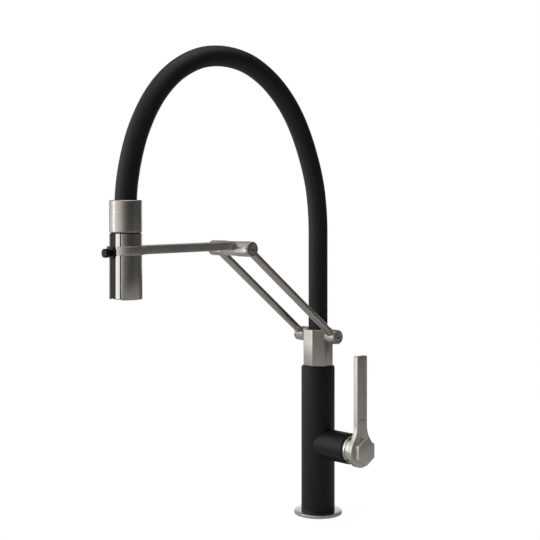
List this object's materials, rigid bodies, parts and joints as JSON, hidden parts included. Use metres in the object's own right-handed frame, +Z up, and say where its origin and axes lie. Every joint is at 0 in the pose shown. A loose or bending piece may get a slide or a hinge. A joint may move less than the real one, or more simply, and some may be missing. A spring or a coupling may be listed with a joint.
{
  "type": "pull down kitchen faucet",
  "caption": "Single-lever deck faucet: black column with side lever, swivelling two-link spout arm, rubber hose arch and a pull-down spray head held in a ring.",
  "frame": {"origin": "on the deck surface at the column's axis, the centre of the foot's underside", "axes": "+Z up along the column, -Y towards the spray head and the user, +X towards the lever"},
  "size_m": [0.1053, 0.3229, 0.5181],
  "materials": {
    "black_coat": "fine matte black powder coat with a faint satin sheen",
    "brushed_nickel": "warm grey nickel brushed in fine parallel lines",
    "polished_metal": "mirror polished metal",
    "hose_rubber": "smooth matte black rubber",
    "gloss_black": "smooth glossy black plastic",
    "matte_black_plastic": "matte black plastic",
    "seal_rubber": "black sealing rubber",
    "brass": "machined yellow brass",
    "white_plastic": "white acetal plastic",
    "ceramic": "lapped white ceramic",
    "steel": "turned stainless steel",
    "braid": "braided grey polymer hose"
  },
  "bodies": {
    "base": {"base_flange": "brushed_nickel", "base_gasket": "seal_rubber", "inlet_block": "brass", "body_column": "black_coat", "swivel_bush": "white_plastic", "cartridge_seal": "seal_rubber", "cartridge_body": "white_plastic", "ceramic_disc_fixed": "ceramic", "cartridge_nut": "brass", "cover_ring": "brushed_nickel"},
    "spindle": {"temperature_spindle": "white_plastic", "stem_cross_pin": "steel", "ceramic_disc_moving": "ceramic"},
    "handle": {"lever_stem": "steel", "lever_hub": "brushed_nickel", "lever": "brushed_nickel", "hex_cap": "brushed_nickel"},
    "swivel": {"swivel_stem": "brass", "swivel_o_rings": "seal_rubber", "retaining_clip": "steel", "thrust_washer": "matte_black_plastic", "swivel_collar": "brushed_nickel", "lower_pivot_pins": "steel", "lower_pivot_caps": "brushed_nickel", "hose_sheath": "hose_rubber", "inner_hose": "braid", "hose_tail_lower": "brass"},
    "link": {"lower_barrel_right": "brushed_nickel", "lower_barrel_left": "brushed_nickel", "upper_barrel_right": "brushed_nickel", "upper_barrel_left": "brushed_nickel", "link_rod_right": "brushed_nickel", "link_rod_left": "brushed_nickel", "upper_pivot_pin": "steel", "upper_pivot_caps": "brushed_nickel"},
    "arm": {"spout_arm": "brushed_nickel"},
    "spray": {"hose_tail_upper": "brass", "ferrule": "brushed_nickel", "neck_seal": "seal_rubber", "spray_core": "polished_metal", "spray_shell": "brushed_nickel", "channel_cover": "gloss_black", "nozzle_plate": "matte_black_plastic", "aerator": "matte_black_plastic", "check_valve": "white_plastic", "button_bezel": "gloss_black", "button_spring": "steel"},
    "button": {"diverter_button": "gloss_black"}
  },
  "joints": [
    {"name": "spout_swivel", "type": "hinge", "parent": "base", "child": "swivel", "pos_m": [0, 0, 0.168], "axis": [0, 0, 1], "range_deg": [-180, 180]},
    {"name": "link_lift", "type": "hinge", "parent": "swivel", "child": "link", "pos_m": [0, 0, 0.2026], "axis": [1, 0, 0], "range_deg": [-18, 20], "deforming": ["hose_sheath", "inner_hose"]},
    {"name": "arm_tilt", "type": "hinge", "parent": "link", "child": "arm", "pos_m": [0, -0.131, 0.305], "axis": [1, 0, 0], "range_deg": [-20, 20]},
    {"name": "head_pull_down", "type": "slide", "parent": "arm", "child": "spray", "axis": [0, 0, -1], "range_m": [0, 0.06]},
    {"name": "diverter_push", "type": "slide", "parent": "spray", "child": "button", "axis": [0, 1, 0], "range_m": [0, 0.003], "stiffness_N_per_m": 300, "springref_m": -0.002, "deforming": ["button_spring"]},
    {"name": "temperature_turn", "type": "hinge", "parent": "base", "child": "spindle", "pos_m": [0.0355, 0, 0.0805], "axis": [1, 0, 0], "range_deg": [-45, 45]},
    {"name": "flow_tilt", "type": "hinge", "parent": "spindle", "child": "handle", "pos_m": [0.0355, 0, 0.0805], "axis": [0, 1, 0], "range_deg": [0, 22]}
  ]
}
